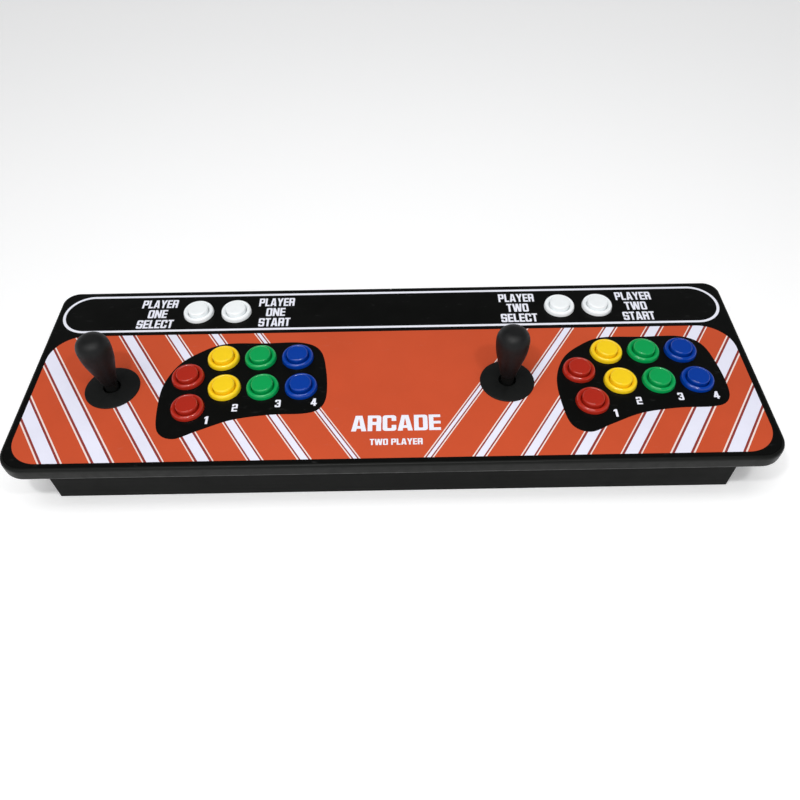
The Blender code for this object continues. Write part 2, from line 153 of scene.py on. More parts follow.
# Block letters in a cell 1 high. A glyph is its width, its inked shapes and the shapes cut out of
# them. Four numbers are a bar (left, bottom, right, top), a fifth rounds its corners, and pairs of
# numbers are the corners of an outline.
BOLD = 0.19  # width of an upright stroke
FLAT = 0.17  # height of a level stroke
WIDE = 0.56  # width of most letters
LOW, HIGH = 0.415, 0.585  # the middle stroke
RIGHT = WIDE - BOLD  # left side of the right stroke
CURVE = 0.13  # rounding of a round letter's corners
ROUND_CELL = (0, 0, WIDE, 1, CURVE)
UPPER_EYE = (BOLD, HIGH, RIGHT, 1 - FLAT, 0.03)
LOWER_EYE = (BOLD, FLAT, RIGHT, LOW, 0.03)
FULL_EYE = (BOLD, FLAT, RIGHT, 1 - FLAT, 0.04)
UPPER_RING = (0, LOW - 0.03, WIDE, 1, CURVE)
UPRIGHT = (0, 0, BOLD, 1)
GLYPHS = {
    "A": (0.62, [((0, 0), (0.62, 0), (0.45, 1), (0.17, 1))],
          [((0.2, 0), (0.42, 0), (0.395, 0.17), (0.225, 0.17)),
           ((0.25, 0.34), (0.37, 0.34), (0.32, 0.76), (0.3, 0.76))]),
    "C": (WIDE, [ROUND_CELL], [FULL_EYE, (RIGHT - 0.01, 0.37, WIDE, 0.63)]),
    "D": (WIDE, [ROUND_CELL, (0, 0, BOLD, 1)], [FULL_EYE]),
    "E": (0.48, [(0, 0, 0.48, 1)], [(BOLD, FLAT, 0.48, LOW), (BOLD, HIGH, 0.48, 1 - FLAT)]),
    "L": (0.45, [(0, 0, 0.45, 1)], [(BOLD, FLAT, 0.45, 1)]),
    "N": (0.6, [UPRIGHT, (0.6 - BOLD, 0, 0.6, 1), ((0, 1), (0.6 - BOLD, 0), (0.6, 0), (BOLD, 1))], []),
    "O": (WIDE, [ROUND_CELL], [FULL_EYE]),
    "P": (WIDE, [UPRIGHT, UPPER_RING], [(BOLD, LOW + 0.14, RIGHT, 1 - FLAT, 0.03)]),
    "R": (WIDE, [UPRIGHT, UPPER_RING, (RIGHT - 0.02, 0, WIDE - 0.01, 0.48)], [UPPER_EYE]),
    "S": (WIDE, [ROUND_CELL],
          [UPPER_EYE, LOWER_EYE, (RIGHT - 0.01, HIGH, WIDE, 0.7), (0, 0.3, BOLD + 0.01, LOW)]),
    "T": (0.5, [(0, 0, 0.5, 1)], [(0, 0, 0.155, 1 - FLAT), (0.345, 0, 0.5, 1 - FLAT)]),
    "W": (0.88, [((0, 1), (0.12, 0), (0.36, 0), (0.44, 0.52), (0.52, 0), (0.76, 0), (0.88, 1),
                  (0.69, 1), (0.64, 0.42), (0.55, 1), (0.33, 1), (0.24, 0.42), (0.19, 1))], []),
    "Y": (0.6, [((0, 1), (0.205, 0.4), (0.205, 0), (0.395, 0), (0.395, 0.4), (0.6, 1),
                 (0.4, 1), (0.3, 0.66), (0.2, 1))], []),
    "1": (0.36, [((0.14, 0), (0.36, 0), (0.36, 1), (0.18, 1), (0, 0.84), (0, 0.7), (0.14, 0.74))], []),
    "2": (WIDE, [ROUND_CELL, (0, 0, WIDE, FLAT)],
          [UPPER_EYE, LOWER_EYE, (0, HIGH, BOLD + 0.01, 0.7), (RIGHT - 0.01, FLAT, WIDE, LOW)]),
    "3": (WIDE, [ROUND_CELL], [UPPER_EYE, LOWER_EYE, (0, 0.3, BOLD + 0.01, 0.7)]),
    "4": (0.62, [(0.3, 0, 0.51, 1), (0, 0.2, 0.62, 0.37),
                 ((0, 0.3), (0.2, 0.3), (0.44, 1), (0.27, 1))], []),
}

# Circuit board. Widths come before heights.
CIRCUIT_THICKNESS = 0.0016
CIRCUIT_CORNER = 0.002
CIRCUIT_SCREWS = (0.043, 0.024)  # their places from the board's middle
CIRCUIT_SCREW = 0.0028
SOCKET_BODY = (0.046, 0.0115)
SOCKET_SHELL = (0.0392, 0.0086)
SOCKET_BORE = (0.0384, 0.0078)
SOCKET_INSERT = (0.038, 0.0074)
SOCKET_DEPTH = 0.018  # from the shell's mouth to the back of the body
SOCKET_LIP = 0.0066  # how far the shell stands out of its flange
FLANGE_THICKNESS = 0.0008
PIN_ROWS = ((1, 13), (-1, 12))  # above or below the middle, number of pins
PIN_PITCH = 0.00276
PIN_ROW_HEIGHT = 0.00142
POST_REACH = 0.0235
CHIP_LEGS = 11  # on each side
CHIP_LEG_PITCH = 0.0011
CHIP_LEG_REACH = 0.0068
CHIP_ROUNDING = 0.0001
HEADER_REACH = 0.034
HEADER_RIM = (0.004, 0.022)  # half its width and half its length
HEADER_WELL = (0.0031, 0.0211)
HEADER_PINS = 16  # in each of the two rows
HEADER_PITCH = 0.00254

# Push buttons. A turned part's profile holds (radius, height) or (radius, height, rounding), and its
# heights are from the panel's face.
WHITE_SHIFT = 0.0075  # from a station's middle to the middle of its white buttons
HOLE_RADIUS = 0.014
RIM_PROFILE = (
    (0.0, -0.028), (0.0114, -0.028), (0.0114, 0.003, 0.0002), (0.0137, 0.0056, 0.0011),
    (0.016, 0.0043, 0.002), (0.01665, 0.0003, 0.0003),
)
PLUNGER_PROFILE = (
    (0.0, 0.0081), (0.007, 0.00812), (0.01, 0.0082, 0.0006), (0.01095, 0.0072, 0.0008),
    (0.011, -0.006, 0.0004), (0.004, -0.006), (0.004, -0.0245, 0.0004), (0.0, -0.0245),
)
BARREL_RADIUS = 0.0137
BARREL_FLOOR = -0.03
THREAD_TURNS = 8
THREAD_TOP = -0.002
THREAD_PITCH = 0.0015
THREAD_RADIUS = 0.0133  # in the grooves
NUT_RADIUS = 0.0182
NUT_LEVELS = (-0.0205, -0.0153)
NUT_WAVE = 0.0006  # depth of the grip's waves
NUT_WAVES = 10
NUT_ROUNDING = 0.0004
SWITCH_TOP = -0.0302

# Joysticks
STICK_HOLE = 0.019
BAT_LEVELS = (0.0715, 0.0584, 0.0115)  # top, widest, bottom
BAT_RADIUS = 0.01605
BAT_NECK = 0.0076
BAT_CAP_POWER = 0.71  # below 1 makes the cap fuller
BAT_BODY_POWER = 1.1  # above 1 moves the narrowing down the body
BAT_BODY_FOOT = 0.0042  # where the narrowing would end
BAT_BORE = (0.0053, 0.0262)  # radius, top
BAT_STEPS = (18, 24)  # of the cap and of the body
PIVOT = -0.028
BALL_RADIUS = 0.0066
WASHER_PROFILE = (
    (0.0087, 0.0003), (0.0087, 0.0026, 0.0005), (0.019, 0.0022, 0.004), (0.027, 0.0012, 0.0008),
    (0.0274, 0.0003, 0.0002),
)
SLEEVE_PROFILE = (
    (0.0051, 0.0112, 0.0003), (0.0066, 0.0112, 0.0004), (0.0066, -0.012, 0.0004),
    (0.0051, -0.012, 0.0003),
)
CLIP_PROFILE = (
    (0.0051, -0.0525), (0.0075, -0.0525, 0.0002), (0.0075, -0.0535, 0.0002), (0.0051, -0.0535),
)
COLLAR_PROFILE = (
    (0.0053, -0.0445), (0.009, -0.0445, 0.0008), (0.009, -0.0515, 0.0008), (0.0053, -0.0515),
)
TRUNNION_PROFILE = ((0.0, 0.0194), (0.002, 0.0194, 0.0004), (0.002, 0.01), (0.0, 0.01))
STICK_HOUSING_ROUNDING = 0.0006
STICK_SWITCH_TOP = -0.039
STICK_SWITCH_REACH = 0.0162


# ---- materials

class Nodes:
    """A small helper that adds shader nodes to one node tree and joins them."""

    def __init__(self, tree, shader="Principled BSDF"):
        self.tree = tree
        self.shader = tree.nodes[shader]

    def add(self, kind, inputs=None, **settings):
        """A new node. An input is given a value, or joined if it gets another node's output."""
        node = self.tree.nodes.new(kind)
        for name, value in settings.items():
            setattr(node, name, value)
        self.fill(node, inputs or {})
        return node

    def fill(self, node, inputs):
        for socket, value in inputs.items():
            if isinstance(value, bpy.types.NodeSocket):
                self.tree.links.new(value, node.inputs[socket])
            else:
                node.inputs[socket].default_value = value

    def finish(self, colour, roughness, normal):
        """Joins a material's patterns to its shader."""
        self.fill(self.shader, {"Base Color": colour, "Roughness": roughness, "Normal": normal})

    def place(self):
        """Coordinates in the piece's own frame."""
        return self.add("ShaderNodeTexCoord").outputs["Object"]

    def noise(self, place, scale, detail=3.0, rough=0.55, stretch=(1, 1, 1)):
        if stretch != (1, 1, 1):
            mapping = self.add("ShaderNodeMapping", {"Scale": stretch, "Vector": place})
            place = mapping.outputs["Vector"]
        inputs = {"Scale": scale, "Detail": detail, "Roughness": rough, "Vector": place}
        return self.add("ShaderNodeTexNoise", inputs).outputs["Fac"]

    def spread(self, value, low, high, start=0.3, end=0.7):
        """Maps a 0 to 1 pattern's useful part to the range from low to high."""
        inputs = {"From Min": start, "From Max": end, "To Min": low, "To Max": high, "Value": value}
        return self.add("ShaderNodeMapRange", inputs).outputs["Result"]

    def blend(self, factor, first, second):
        """Mixes two colours. The first may be another node's output."""
        if isinstance(first, tuple):
            first = (*first, 1.0)
        inputs = {"Factor": factor, 6: first, 7: (*second, 1.0)}
        return self.add("ShaderNodeMix", inputs, data_type="RGBA").outputs[2]

    def low_edge(self, level, reach):
        """1 at a height in the piece's own frame, falling to 0 at reach above it, in patches."""
        place = self.place()
        height = self.add("ShaderNodeSeparateXYZ", {"Vector": place}).outputs["Z"]
        near = self.spread(height, 1.0, 0.0, level, level + reach)
        patches = self.spread(self.noise(place, 45, detail=6, rough=0.7), 0.0, 1.0, 0.45, 0.65)
        both = self.add("ShaderNodeMath", {0: near, 1: patches}, operation="MULTIPLY")
        return both.outputs["Value"]

    def edges(self, start, end):
        """1 on convex edges, falling to 0 on flat faces."""
        pointiness = self.add("ShaderNodeNewGeometry").outputs["Pointiness"]
        return self.spread(pointiness, 0.0, 1.0, start, end)

    def bump(self, height, distance, after=None):
        inputs = {"Distance": distance, "Strength": 1.0, "Height": height}
        if after is not None:
            inputs["Normal"] = after
        return self.add("ShaderNodeBump", inputs).outputs["Normal"]


def new_material(name, roughness=0.4, metallic=0.0, **fixed):
    material = bpy.data.materials.new(name)
    material.use_nodes = True
    nodes = Nodes(material.node_tree)
    nodes.fill(nodes.shader, {"Roughness": roughness, "Metallic": metallic})
    nodes.fill(nodes.shader, {socket.replace("_", " "): value for socket, value in fixed.items()})
    return material, nodes


def tint(colour, amount):
    """Lighter for amount above 1, darker below it."""
    return tuple(min(1.0, part * amount) for part in colour)


def moulded(name, colour, roughness=0.3, grain=0.02, worn=1.15, **fixed):
    """Moulded plastic: faint colour drift, uneven gloss, fine skin texture and lighter worn edges."""
    material, nodes = new_material(name, **fixed)
    place = nodes.place()
    drift = nodes.spread(nodes.noise(place, 35), 0.0, 1.0)
    body = nodes.blend(drift, tint(colour, 0.93), tint(colour, 1.06))
    nodes.finish(
        nodes.blend(nodes.edges(0.52, 0.62), body, tint(colour, worn)),
        nodes.spread(nodes.noise(place, 120, detail=5), roughness * 0.82, roughness * 1.2),
        nodes.bump(nodes.noise(place, 900, detail=2), grain * MM),
    )
    return material


def printed(name, colour, roughness=0.34):
    """Ink under a satin film: dot-fine colour drift, light scuffs and a fine orange-peel surface."""
    material, nodes = new_material(name, Specular_IOR_Level=0.1)
    place = nodes.place()
    drift = nodes.spread(nodes.noise(place, 14, detail=4), 0.0, 1.0)
    ink = nodes.blend(drift, tint(colour, 0.955), tint(colour, 1.035))
    scuffs = nodes.noise(place, 60, detail=8, rough=0.7, stretch=(1, 3, 1))
    pale = tuple(part * 0.9 + 0.03 for part in colour)
    peel = nodes.bump(nodes.noise(place, 1400, detail=1), 0.006 * MM)
    nodes.finish(
        nodes.blend(nodes.spread(scuffs, 0, 1, 0.62, 0.8), ink, pale),
        nodes.spread(nodes.noise(place, 45, detail=6), roughness * 0.85, roughness * 1.2),
        nodes.bump(nodes.noise(place, 90, detail=1), 0.03 * MM, after=peel),
    )
    return material


def fibreboard(name, colour, roughness=0.7):
    """Painted fibreboard: matted fibres, with paint worn thin in patches."""
    material, nodes = new_material(name)
    place = nodes.place()
    fibres = nodes.noise(place, 260, detail=6, rough=0.7, stretch=(0.35, 1, 1))
    paint = nodes.blend(nodes.spread(fibres, 0, 1), tint(colour, 0.8), tint(colour, 1.3))
    bare = nodes.spread(nodes.noise(place, 18, detail=9, rough=0.75), 0.0, 0.5, 0.6, 0.72)
    nodes.finish(
        nodes.blend(bare, paint, (0.16, 0.1, 0.055)),
        nodes.spread(fibres, roughness - 0.08, roughness + 0.1),
        nodes.bump(fibres, 0.05 * MM),
    )
    return material


def laminate(name, colour, roughness=0.42):
    """Black case laminate: faint streaks along the panel, fine pores and a scuffed lower edge."""
    material, nodes = new_material(name, Specular_IOR_Level=0.05)
    place = nodes.place()
    streaks = nodes.noise(place, 40, detail=5, stretch=(0.15, 2, 6))
    body = nodes.blend(nodes.spread(streaks, 0, 1), tint(colour, 0.85), tint(colour, 1.2))
    marks = nodes.noise(place, 22, detail=7, rough=0.65)
    pores = nodes.noise(place, 700, detail=2, stretch=(0.5, 1, 1))
    nodes.finish(
        nodes.blend(nodes.low_edge(0.0, 0.0035), body, tint(colour, 3.0)),
        nodes.spread(marks, roughness * 0.8, roughness * 1.25),
        nodes.bump(pores, 0.025 * MM),
    )
    return material


def metal(name, colour, roughness=0.28, stretch=(1, 1, 40)):
    """Turned or drawn metal: tool lines across the stretch, with dull patches."""
    material, nodes = new_material(name, metallic=1.0)
    place = nodes.place()
    lines = nodes.noise(place, 160, detail=3, stretch=stretch)
    dull = nodes.spread(nodes.noise(place, 70, detail=5), 0, 1)
    nodes.finish(
        nodes.blend(dull, tint(colour, 0.8), tint(colour, 1.1)),
        nodes.spread(lines, roughness * 0.7, roughness * 1.5),
        nodes.bump(lines, 0.01 * MM),
    )
    return material


def circuit(name):
    """Green solder mask with faint copper tracks under it."""
    material, nodes = new_material(name, Specular_IOR_Level=0.5)
    place = nodes.place()
    bricks = nodes.add("ShaderNodeTexBrick", {"Scale": 90, "Mortar Size": 0.03, "Vector": place})
    tracks = bricks.outputs["Fac"]
    nodes.finish(
        nodes.blend(tracks, (0.01, 0.085, 0.03), (0.02, 0.16, 0.05)),
        nodes.spread(nodes.noise(place, 200), 0.28, 0.5),
        nodes.bump(tracks, 0.04 * MM),
    )
    return material


BUTTON_COLOURS = {
    "red": (0.4, 0.02, 0.009),
    "yellow": (0.92, 0.62, 0.012),
    "green": (0.002, 0.335, 0.08),
    "blue": (0.0, 0.04, 0.318),
    "white": (0.89, 0.92, 0.93),
}

MATERIALS = {
    "orange": printed("print_orange", (0.55, 0.079, 0.029)),
    "white": printed("print_white", (0.77, 0.77, 0.89)),
    "pin": printed("print_pin", (0.84, 0.7, 0.66)),
    "shade": printed("print_shade", (0.27, 0.042, 0.034)),
    "black": printed("print_black", (0.0026, 0.0028, 0.0025)),
    "label": printed("print_label", (0.8, 0.81, 0.89)),
    "molding": moulded(
        "vinyl_molding", (0.006, 0.0066, 0.0058), roughness=0.42, grain=0.03, worn=1.6,
        Specular_IOR_Level=0.14,
    ),
    "case": laminate("case_laminate", (0.0056, 0.0059, 0.0054)),
    "board": fibreboard("board_painted", (0.02, 0.019, 0.018)),
    "cover": fibreboard("cover_hardboard", (0.05, 0.036, 0.026), roughness=0.8),
    "knob": moulded(
        "knob_plastic", (0.0032, 0.0035, 0.0037), roughness=0.54, grain=0.012, worn=1.5,
        Specular_IOR_Level=0.26,
    ),
    "washer": moulded(
        "washer_plastic", (0.0036, 0.0041, 0.0038), roughness=0.55, grain=0.03, worn=1.7,
        Specular_IOR_Level=0.17,
    ),
    "inner": moulded("inner_plastic", (0.02, 0.02, 0.02), roughness=0.5),
    "steel": metal("turned_steel", (0.55, 0.55, 0.56)),
    "zinc": metal("zinc_plate", (0.6, 0.6, 0.58), roughness=0.38, stretch=(1, 1, 1)),
    "brass": metal("brass_contact", (0.75, 0.53, 0.22), stretch=(1, 1, 1)),
    "circuit": circuit("circuit_board"),
}
for shade_name, shade_colour in BUTTON_COLOURS.items():
    MATERIALS["button_" + shade_name] = moulded(
        "button_" + shade_name, shade_colour, roughness=0.08, grain=0.003, worn=1.05, Specular_IOR_Level=0.5
    )


# ---- building pieces

def link_object(name, data):
    made = bpy.data.objects.new(name, data)
    bpy.context.scene.collection.objects.link(made)
    return made


def add_piece(name, mesh, material, place=(0, 0, 0), stands_for=(), body=PANEL):
    """Links a mesh as a piece that rides on a CAD body, and hides the CAD nodes it stands for. A
    mesh that has materials keeps them, and the given one is then not used. A mesh takes the name
    of the first piece that uses it."""
    if not mesh.users:
        mesh.name = name
    if not mesh.materials:
        mesh.materials.append(MATERIALS[material])
    piece = link_object(name, mesh)
    piece.location = place
    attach(piece, body)
    if stands_for:
        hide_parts(*stands_for)
    return piece


def mesh_from(bm):
    mesh = bpy.data.meshes.new("part")
    bm.to_mesh(mesh)
    bm.free()
    return mesh


def smooth_mesh(bm):
    bmesh.ops.recalc_face_normals(bm, faces=bm.faces)
    mesh = mesh_from(bm)
    mesh.shade_smooth()
    mesh.set_sharp_from_angle(angle=SMOOTH_ANGLE)
    return mesh


def circle(radius, sides=ROUND_SIDES, centre=(0.0, 0.0)):
    step = 2 * math.pi / sides
    return [
        (centre[0] + radius * math.cos(step * i), centre[1] + radius * math.sin(step * i))
        for i in range(sides)
    ]


def rounded_rectangle(left, right, front, rear, corners, steps=16):
    """Counter-clockwise from the right rear corner. corners holds the rear and the front radius."""
    rear_radius, front_radius = corners
    arcs = (
        (right - rear_radius, rear - rear_radius, rear_radius, 0),
        (left + rear_radius, rear - rear_radius, rear_radius, 90),
        (left + front_radius, front + front_radius, front_radius, 180),
        (right - front_radius, front + front_radius, front_radius, 270),
    )
    points = []
    for x, y, radius, start in arcs:
        for step in range(steps + 1):
            angle = math.radians(start + 90 * step / steps)
            points.append((x + radius * math.cos(angle), y + radius * math.sin(angle)))
    return points


def smooth_loop(points, cuts):
    """A closed Catmull-Rom curve through the points."""
    curve = []
    count = len(points)
    for i in range(count):
        before, start, end, after = (Vector(points[(i + k) % count]) for k in (-1, 0, 1, 2))
        for cut in range(cuts):
            t = cut / cuts
            curve.append(tuple(0.5 * (
                2 * start + (end - before) * t
                + (2 * before - 5 * start + 4 * end - after) * t * t
                + (3 * start - before - 3 * end + after) * t * t * t
            )))
    return curve


def rounded(corners, ring=False, steps=5):
    """Rounds a profile's corners. Each corner is (radius, height) or (radius, height, rounding)."""
    points = []
    count = len(corners)
    for i, corner in enumerate(corners):
        here = Vector(corner[:2])
        size = corner[2] if len(corner) > 2 else 0.0
        if size == 0.0 or (not ring and i in (0, count - 1)):
            points.append(here)
            continue
        back = Vector(corners[i - 1][:2]) - here
        ahead = Vector(corners[(i + 1) % count][:2]) - here
        start = here + back.normalized() * min(size, back.length * 0.48)
        end = here + ahead.normalized() * min(size, ahead.length * 0.48)
        for step in range(steps + 1):
            t = step / steps
            points.append(start.lerp(here, t).lerp(here.lerp(end, t), t))
    return points


def lathe(corners, sides=ROUND_SIDES, ring=False):
    """Turns a profile about Z. It runs down the outside, from the axis or a top rim to the bottom."""
    bm = bmesh.new()
    levels = []
    for radius, height in rounded(corners, ring):
        if radius < 1e-7:
            levels.append([bm.verts.new((0, 0, height))])
        else:
            levels.append([bm.verts.new((x, y, height)) for x, y in circle(radius, sides)])
    pairs = list(zip(levels, levels[1:]))
    if ring:
        pairs.append((levels[-1], levels[0]))
    for upper, lower in pairs:
        for i in range(sides):
            j = (i + 1) % sides
            face = []
            for level, index in ((upper, i), (upper, j), (lower, j), (lower, i)):
                vert = level[index % len(level)]
                if vert not in face:
                    face.append(vert)
            bm.faces.new(face)
    return smooth_mesh(bm)


def overlay(outlines):
    """Splits the plane along all the outlines. Returns the points and, for each triangle, its
    corners and the set of outlines that it lies in."""
    points = []
    faces = []
    for outline in outlines:
        faces.append(range(len(points), len(points) + len(outline)))
        points += [Vector(point) for point in outline]
    found = delaunay_2d_cdt(points, [], [list(face) for face in faces], 1, 1e-7)
    return found[0], list(zip(found[2], (set(owners) for owners in found[5])))


def slab(points, triangles, low, high):
    """Gives a flat set of triangles a thickness, as one closed mesh."""
    bm = bmesh.new()
    used = sorted({corner for triangle in triangles for corner in triangle})
    tops = {i: bm.verts.new((*points[i], high)) for i in used}
    floors = {i: bm.verts.new((*points[i], low)) for i in used}
    open_edges = set()
    for a, b, c in triangles:
        bm.faces.new((tops[a], tops[b], tops[c]))
        bm.faces.new((floors[c], floors[b], floors[a]))
        for edge in ((a, b), (b, c), (c, a)):
            if edge[::-1] in open_edges:
                open_edges.discard(edge[::-1])
            else:
                open_edges.add(edge)
    for a, b in open_edges:
        bm.faces.new((tops[b], tops[a], floors[a], floors[b]))
    return mesh_from(bm)


def rectangle(left, right, front, rear):
    return [(left, front), (right, front), (right, rear), (left, rear)]


def plate(outline, holes, low, high):
    """A flat plate with straight-through holes."""
    points, triangles = overlay([outline, *holes])
    kept = [corners for corners, owners in triangles if owners == {0}]
    return slab(points, kept, low, high)


def block(low, high):
    """A board or a box between two corners. soften rounds its edges."""
    return plate(rectangle(low[0], high[0], low[1], high[1]), [], low[2], high[2])


def upright(mesh):
    """Stands a flat mesh up, so that its outline lies in X and Z and its height runs towards -Y."""
    mesh.transform(Matrix.Rotation(math.radians(90), 4, "X"))
    return mesh


def soften(piece, width, segments=3):
    """Rounds a piece's sharp edges, and keeps its flat faces flat under smooth shading."""
    bevel = piece.modifiers.new("soft_edges", "BEVEL")
    bevel.width = width
    bevel.segments = segments
    bevel.limit_method = "ANGLE"
    bevel.harden_normals = True
    return piece


def joined(parts):
    """One mesh from (mesh, material name, places) parts, with a material slot for each material."""
    bm = bmesh.new()
    used = []
    for mesh, material, places in parts:
        if material not in used:
            used.append(material)
        for place in places:
            first = len(bm.faces)
            bm.from_mesh(mesh)
            bm.faces.ensure_lookup_table()
            faces = bm.faces[first:]
            for face in faces:
                face.material_index = used.index(material)
            moved = {vert for face in faces for vert in face.verts}
            shift = place if isinstance(place, Matrix) else Matrix.Translation(place)
            bmesh.ops.transform(bm, matrix=shift, verts=list(moved))
    mesh = mesh_from(bm)
    for material in used:
        mesh.materials.append(MATERIALS[material])
    mesh.set_sharp_from_angle(angle=SMOOTH_ANGLE)
    return mesh


def screw_mesh(radius):
    """A countersunk screw's head, face up at height 0, with a cross recess and its shank."""
    wide, long = radius * 0.16, radius * 0.58
    cross = [
        (-long, -wide), (-wide, -wide), (-wide, -long), (wide, -long), (wide, -wide), (long, -wide),
        (long, wide), (wide, wide), (wide, long), (-wide, long), (-wide, wide), (-long, wide),
    ]
    face = plate(circle(radius, 32), [cross], -radius * 0.3, 0.0)
    shank = lathe((
        (0.0, -radius * 0.3), (radius * 0.96, -radius * 0.3), (radius * 0.45, -radius * 0.85),
        (radius * 0.45, -radius * 2.4), (0.0, -radius * 3.0),
    ), sides=24)
    return joined([(face, "zinc", HERE), (shank, "zinc", HERE)])


# ---- places from the frame

def centre_of(node):
    low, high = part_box(node)
    return (low + high) / 2


def button_rows():
    """(name, colour, x, y) of every push button, from the nodes of the frame."""
    rows = []
    for node in sorted(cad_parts):
        if node.endswith("_plunger"):
            name = node[: -len("_plunger")]
            colour = name.split("_")[1]
            middle = centre_of(node)
            rows.append((name, colour if colour in BUTTON_COLOURS else "white", middle.x, middle.y))
    return rows


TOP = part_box("printed_sheet")[1].z
SHEET_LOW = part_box("printed_sheet")[0].z
BUTTONS = button_rows()
STICKS = {side: centre_of(side + "_stick_shaft") for side in SIDES}


def station_middle(side):
    """The x that a station's layout is measured from, left of its white buttons' middle."""
    whites = [row for row in BUTTONS if row[1] == "white" and row[0].startswith(side)]
    return sum(row[2] for row in whites) / len(whites) - WHITE_SHIFT


def panel_holes():
    holes = [circle(HOLE_RADIUS, 48, (x, y)) for _, _, x, y in BUTTONS]
    return holes + [circle(STICK_HOLE, 64, (place.x, place.y)) for place in STICKS.values()]


# ---- printed sheet

def stripe(middle, half, turn):
    """One slanted stripe of the right half, or of the left half when turn is -1."""
    front, rear = FIELD_FRONT - 0.01, FIELD_REAR + 0.01
    outline = []
    for y, side in ((front, -1), (front, 1), (rear, 1), (rear, -1)):
        outline.append((turn * (middle + side * half + STRIPE_LEAN * (y - STRIPE_LEVEL)), y))
    return outline[::turn]


def sheet_outlines():
    """(kind, outline) of everything printed on or cut out of the sheet."""
    low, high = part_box("printed_sheet")
    found = [("sheet", rounded_rectangle(low.x, high.x, low.y, high.y, SHEET_CORNERS))]
    field = rounded_rectangle(-FIELD_HALF, FIELD_HALF, FIELD_FRONT, FIELD_REAR, FIELD_CORNERS)
    found.append(("field", field))
    for kind, side in (("ring", 1), ("ring_inside", -1)):
        radius = BAND_LINE_RADIUS + side * BAND_LINE_WIDTH / 2
        reach = BAND_LINE_X + radius
        outline = rounded_rectangle(
            -reach, reach, BAND_LINE_Y - radius, BAND_LINE_Y + radius, (radius * 0.999, radius * 0.999), 24
        )
        found.append((kind, outline))
    for side in SIDES:
        middle = station_middle(side)
        stretch = PAD_STRETCH[side]
        points = [(middle + (x * stretch if x > 0 else x), y) for x, y in PAD_POINTS]
        pad = smooth_loop(points, PAD_CUTS)
        found.append(("pad", pad[::-1]))
    for middle, width, shade, pin in STRIPES:
        half = width / 2
        for kind, reach in (("pin", half + shade + pin), ("shade", half + shade), ("white", half)):
            for turn in (1, -1):
                found.append((kind, stripe(middle, reach, turn)))
    found += [("hole", hole) for hole in panel_holes()]
    return found


def ink_of(kinds):
    """The ink of a spot on the sheet, from the kinds of outline that it lies in."""
    if "hole" in kinds or "sheet" not in kinds:
        return None
    if "ring" in kinds and "ring_inside" not in kinds:
        return "label"
    if "field" not in kinds or "pad" in kinds:
        return "black"
    for kind in ("white", "shade", "pin"):
        if kind in kinds:
            return kind
    return "orange"


def make_sheet():
    """The printed sheet as flush inlays, one piece to an ink."""
    outlines = sheet_outlines()
    points, triangles = overlay([outline for _, outline in outlines])
    inks = {}
    for corners, owners in triangles:
        ink = ink_of({outlines[i][0] for i in owners})
        if ink:
            inks.setdefault(ink, []).append(corners)
    names = {
        "orange": "sheet_orange_field", "black": "sheet_black_ground", "white": "sheet_white_stripes",
        "pin": "sheet_pin_lines", "shade": "sheet_shade_lines", "label": "sheet_band_line",
    }
    for ink, name in names.items():
        mesh = slab(points, inks[ink], SHEET_LOW, TOP)
        add_piece(name, mesh, ink, stands_for=("printed_sheet",))


def glyph_outline(shape):
    """A counter-clockwise outline from a bar, a rounded bar or a list of corners."""
    if not isinstance(shape[0], tuple):
        left, low, right, high, *corner = shape
        if corner:
            return rounded_rectangle(left, right, low, high, (corner[0], corner[0]), 5)
        return rectangle(left, right, low, high)
    turn = sum(a[0] * b[1] - b[0] * a[1] for a, b in zip(shape, shape[1:] + shape[:1]))
    return list(shape) if turn > 0 else list(reversed(shape))


def text_mesh(words, height, width):
    """Block letters, centred on the origin and fitted to a height and a width."""
    inked = []
    cut = []
    reach = 0.0
    for letter in words:
        if letter == " ":
            reach += WORD_GAP
            continue
        glyph_width, shapes, cuts = GLYPHS[letter]
        for shape_list, found in ((shapes, inked), (cuts, cut)):
            for shape in shape_list:
                found.append([(x + reach, y) for x, y in glyph_outline(shape)])
        reach += glyph_width + LETTER_GAP
    length = reach - LETTER_GAP
    points, triangles = overlay(inked + cut)
    count = len(inked)
    kept = [corners for corners, owners in triangles if owners and max(owners) < count]
    placed = [((x / length - 0.5) * width, (y - 0.5) * height) for x, y in points]
    return slab(placed, kept, 0.0, INK_HEIGHT)


def make_labels():
    """Generic white wording: who plays, what the white buttons do, and the buttons' numbers."""
    labels = []
    for side, who in (("left", "ONE"), ("right", "TWO")):
        middle = station_middle(side)
        for use, shift in LABEL_X.items():
            for row, words in enumerate(("PLAYER", who, use.upper())):
                place = (middle + shift, LABEL_ROWS[row])
                size = (LABEL_HEIGHT, LABEL_WIDTHS[words])
                labels.append((f"label_{side}_{use}_{row}", words, *size, *place))
        for number, (x, y) in enumerate(NUMBER_PLACES, start=1):
            size = (NUMBER_HEIGHT, NUMBER_WIDTHS[number - 1])
            labels.append((f"label_{side}_number_{number}", str(number), *size, middle + x, y))
    for name, words, height, width, x, y in (*labels, *TITLES):
        add_piece(name, text_mesh(words, height, width), "label", (x, y, TOP))


# ---- molding, board and case

